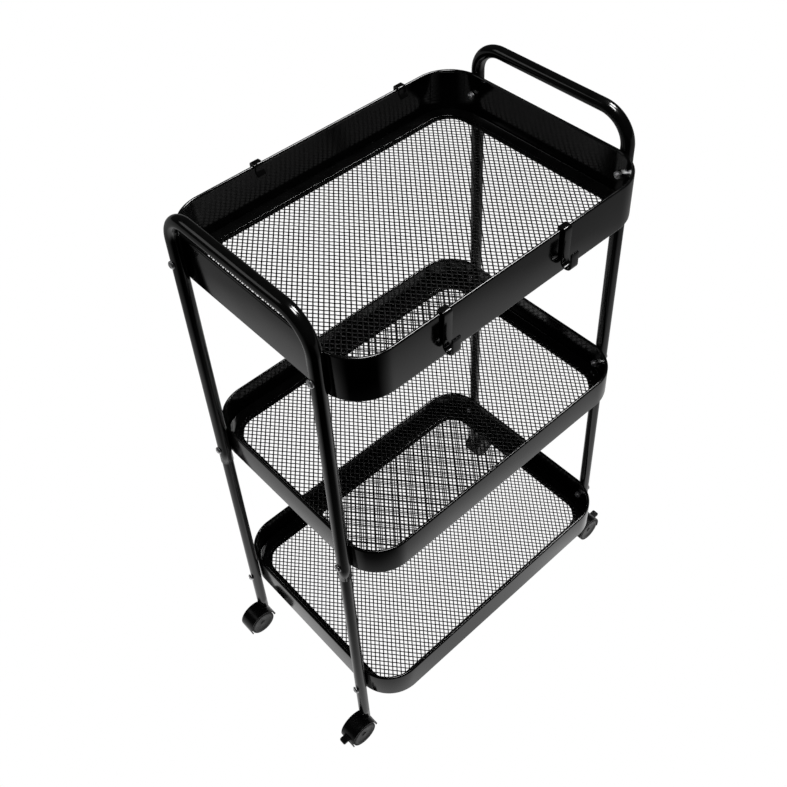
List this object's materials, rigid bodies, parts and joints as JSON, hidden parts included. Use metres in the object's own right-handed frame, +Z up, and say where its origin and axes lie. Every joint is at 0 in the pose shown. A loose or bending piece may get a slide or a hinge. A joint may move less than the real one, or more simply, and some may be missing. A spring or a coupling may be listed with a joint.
{
  "type": "rolling utility cart",
  "caption": "Tall rolling cart with rounded sheet-metal baskets on mesh floors, tube frames whose tops are handles, clip-on hooks and hooded twin-wheel casters.",
  "frame": {"origin": "on the floor, in the middle of the cart, under the baskets", "axes": "+X along the length from the left handle to the right one, +Y from the front to the rear, +Z up"},
  "size_m": [0.531, 0.3458, 0.8055],
  "materials": {
    "basket": "gloss",
    "mesh": "gloss",
    "tube": "gloss",
    "hook": "gloss",
    "fastener": "polished",
    "wheel": "satin",
    "caster": "gloss",
    "socket": "matte",
    "pin": "satin"
  },
  "bodies": {
    "cart": {"bottom_basket_wall": "basket", "bottom_mesh_floor": "mesh", "bottom_retaining_strip": "basket", "frame_nuts": "fastener", "frame_screws": "fastener", "left_front_caster_stem": "pin", "left_front_lower_leg": "tube", "left_front_stem_clip": "pin", "left_front_stem_socket": "socket", "left_handle_frame": "tube", "left_rear_caster_stem": "pin", "left_rear_lower_leg": "tube", "left_rear_stem_clip": "pin", "left_rear_stem_socket": "socket", "middle_basket_wall": "basket", "middle_mesh_floor": "mesh", "middle_retaining_strip": "basket", "right_front_caster_stem": "pin", "right_front_lower_leg": "tube", "right_front_stem_clip": "pin", "right_front_stem_socket": "socket", "right_handle_frame": "tube", "right_rear_caster_stem": "pin", "right_rear_lower_leg": "tube", "right_rear_stem_clip": "pin", "right_rear_stem_socket": "socket", "top_basket_wall": "basket", "top_mesh_floor": "mesh", "top_retaining_strip": "basket"},
    "hook_front_left": {"hook_front_left": "hook"},
    "hook_front_right": {"hook_front_right": "hook"},
    "hook_rear_left": {"hook_rear_left": "hook"},
    "hook_rear_right": {"hook_rear_right": "hook"},
    "left_front_caster": {"left_front_caster_housing": "caster", "left_front_caster_axle": "pin", "left_front_brake_pin": "pin"},
    "left_front_wheel_front": {"left_front_caster_wheel_front": "wheel"},
    "left_front_wheel_rear": {"left_front_caster_wheel_rear": "wheel"},
    "left_front_brake": {"left_front_brake_lever": "caster"},
    "left_rear_caster": {"left_rear_caster_housing": "caster", "left_rear_caster_axle": "pin"},
    "left_rear_wheel_front": {"left_rear_caster_wheel_front": "wheel"},
    "left_rear_wheel_rear": {"left_rear_caster_wheel_rear": "wheel"},
    "right_front_caster": {"right_front_caster_housing": "caster", "right_front_caster_axle": "pin", "right_front_brake_pin": "pin"},
    "right_front_wheel_front": {"right_front_caster_wheel_front": "wheel"},
    "right_front_wheel_rear": {"right_front_caster_wheel_rear": "wheel"},
    "right_front_brake": {"right_front_brake_lever": "caster"},
    "right_rear_caster": {"right_rear_caster_housing": "caster", "right_rear_caster_axle": "pin"},
    "right_rear_wheel_front": {"right_rear_caster_wheel_front": "wheel"},
    "right_rear_wheel_rear": {"right_rear_caster_wheel_rear": "wheel"}
  },
  "joints": [
    {"name": "left_front_caster_swivel", "type": "hinge", "parent": "cart", "child": "left_front_caster", "pos_m": [-0.22251, -0.115, 0.027], "axis": [0, 0, 1], "continuous": true},
    {"name": "left_front_wheel_front_spin", "type": "hinge", "parent": "left_front_caster", "child": "left_front_wheel_front", "pos_m": [-0.23501, -0.115, 0.019], "axis": [0, 1, 0], "continuous": true},
    {"name": "left_front_wheel_rear_spin", "type": "hinge", "parent": "left_front_caster", "child": "left_front_wheel_rear", "pos_m": [-0.23501, -0.115, 0.019], "axis": [0, 1, 0], "continuous": true},
    {"name": "left_front_brake_press", "type": "hinge", "parent": "left_front_caster", "child": "left_front_brake", "pos_m": [-0.24601, -0.115, 0.028], "axis": [0, -1, 0], "range_deg": [0, 20]},
    {"name": "left_rear_caster_swivel", "type": "hinge", "parent": "cart", "child": "left_rear_caster", "pos_m": [-0.22251, 0.115, 0.027], "axis": [0, 0, 1], "continuous": true},
    {"name": "left_rear_wheel_front_spin", "type": "hinge", "parent": "left_rear_caster", "child": "left_rear_wheel_front", "pos_m": [-0.23501, 0.115, 0.019], "axis": [0, 1, 0], "continuous": true},
    {"name": "left_rear_wheel_rear_spin", "type": "hinge", "parent": "left_rear_caster", "child": "left_rear_wheel_rear", "pos_m": [-0.23501, 0.115, 0.019], "axis": [0, 1, 0], "continuous": true},
    {"name": "right_front_caster_swivel", "type": "hinge", "parent": "cart", "child": "right_front_caster", "pos_m": [0.22251, -0.115, 0.027], "axis": [0, 0, 1], "continuous": true},
    {"name": "right_front_wheel_front_spin", "type": "hinge", "parent": "right_front_caster", "child": "right_front_wheel_front", "pos_m": [0.23501, -0.115, 0.019], "axis": [0, 1, 0], "continuous": true},
    {"name": "right_front_wheel_rear_spin", "type": "hinge", "parent": "right_front_caster", "child": "right_front_wheel_rear", "pos_m": [0.23501, -0.115, 0.019], "axis": [0, 1, 0], "continuous": true},
    {"name": "right_front_brake_press", "type": "hinge", "parent": "right_front_caster", "child": "right_front_brake", "pos_m": [0.24601, -0.115, 0.028], "axis": [0, 1, 0], "range_deg": [0, 20]},
    {"name": "right_rear_caster_swivel", "type": "hinge", "parent": "cart", "child": "right_rear_caster", "pos_m": [0.22251, 0.115, 0.027], "axis": [0, 0, 1], "continuous": true},
    {"name": "right_rear_wheel_front_spin", "type": "hinge", "parent": "right_rear_caster", "child": "right_rear_wheel_front", "pos_m": [0.23501, 0.115, 0.019], "axis": [0, 1, 0], "continuous": true},
    {"name": "right_rear_wheel_rear_spin", "type": "hinge", "parent": "right_rear_caster", "child": "right_rear_wheel_rear", "pos_m": [0.23501, 0.115, 0.019], "axis": [0, 1, 0], "continuous": true},
    {"name": "hook_front_left_lift_off", "type": "slide", "parent": "cart", "child": "hook_front_left", "axis": [0, 0, 1], "range_m": [0, 0.03]},
    {"name": "hook_front_right_lift_off", "type": "slide", "parent": "cart", "child": "hook_front_right", "axis": [0, 0, 1], "range_m": [0, 0.03]},
    {"name": "hook_rear_left_lift_off", "type": "slide", "parent": "cart", "child": "hook_rear_left", "axis": [0, 0, 1], "range_m": [0, 0.03]},
    {"name": "hook_rear_right_lift_off", "type": "slide", "parent": "cart", "child": "hook_rear_right", "axis": [0, 0, 1], "range_m": [0, 0.03]}
  ]
}
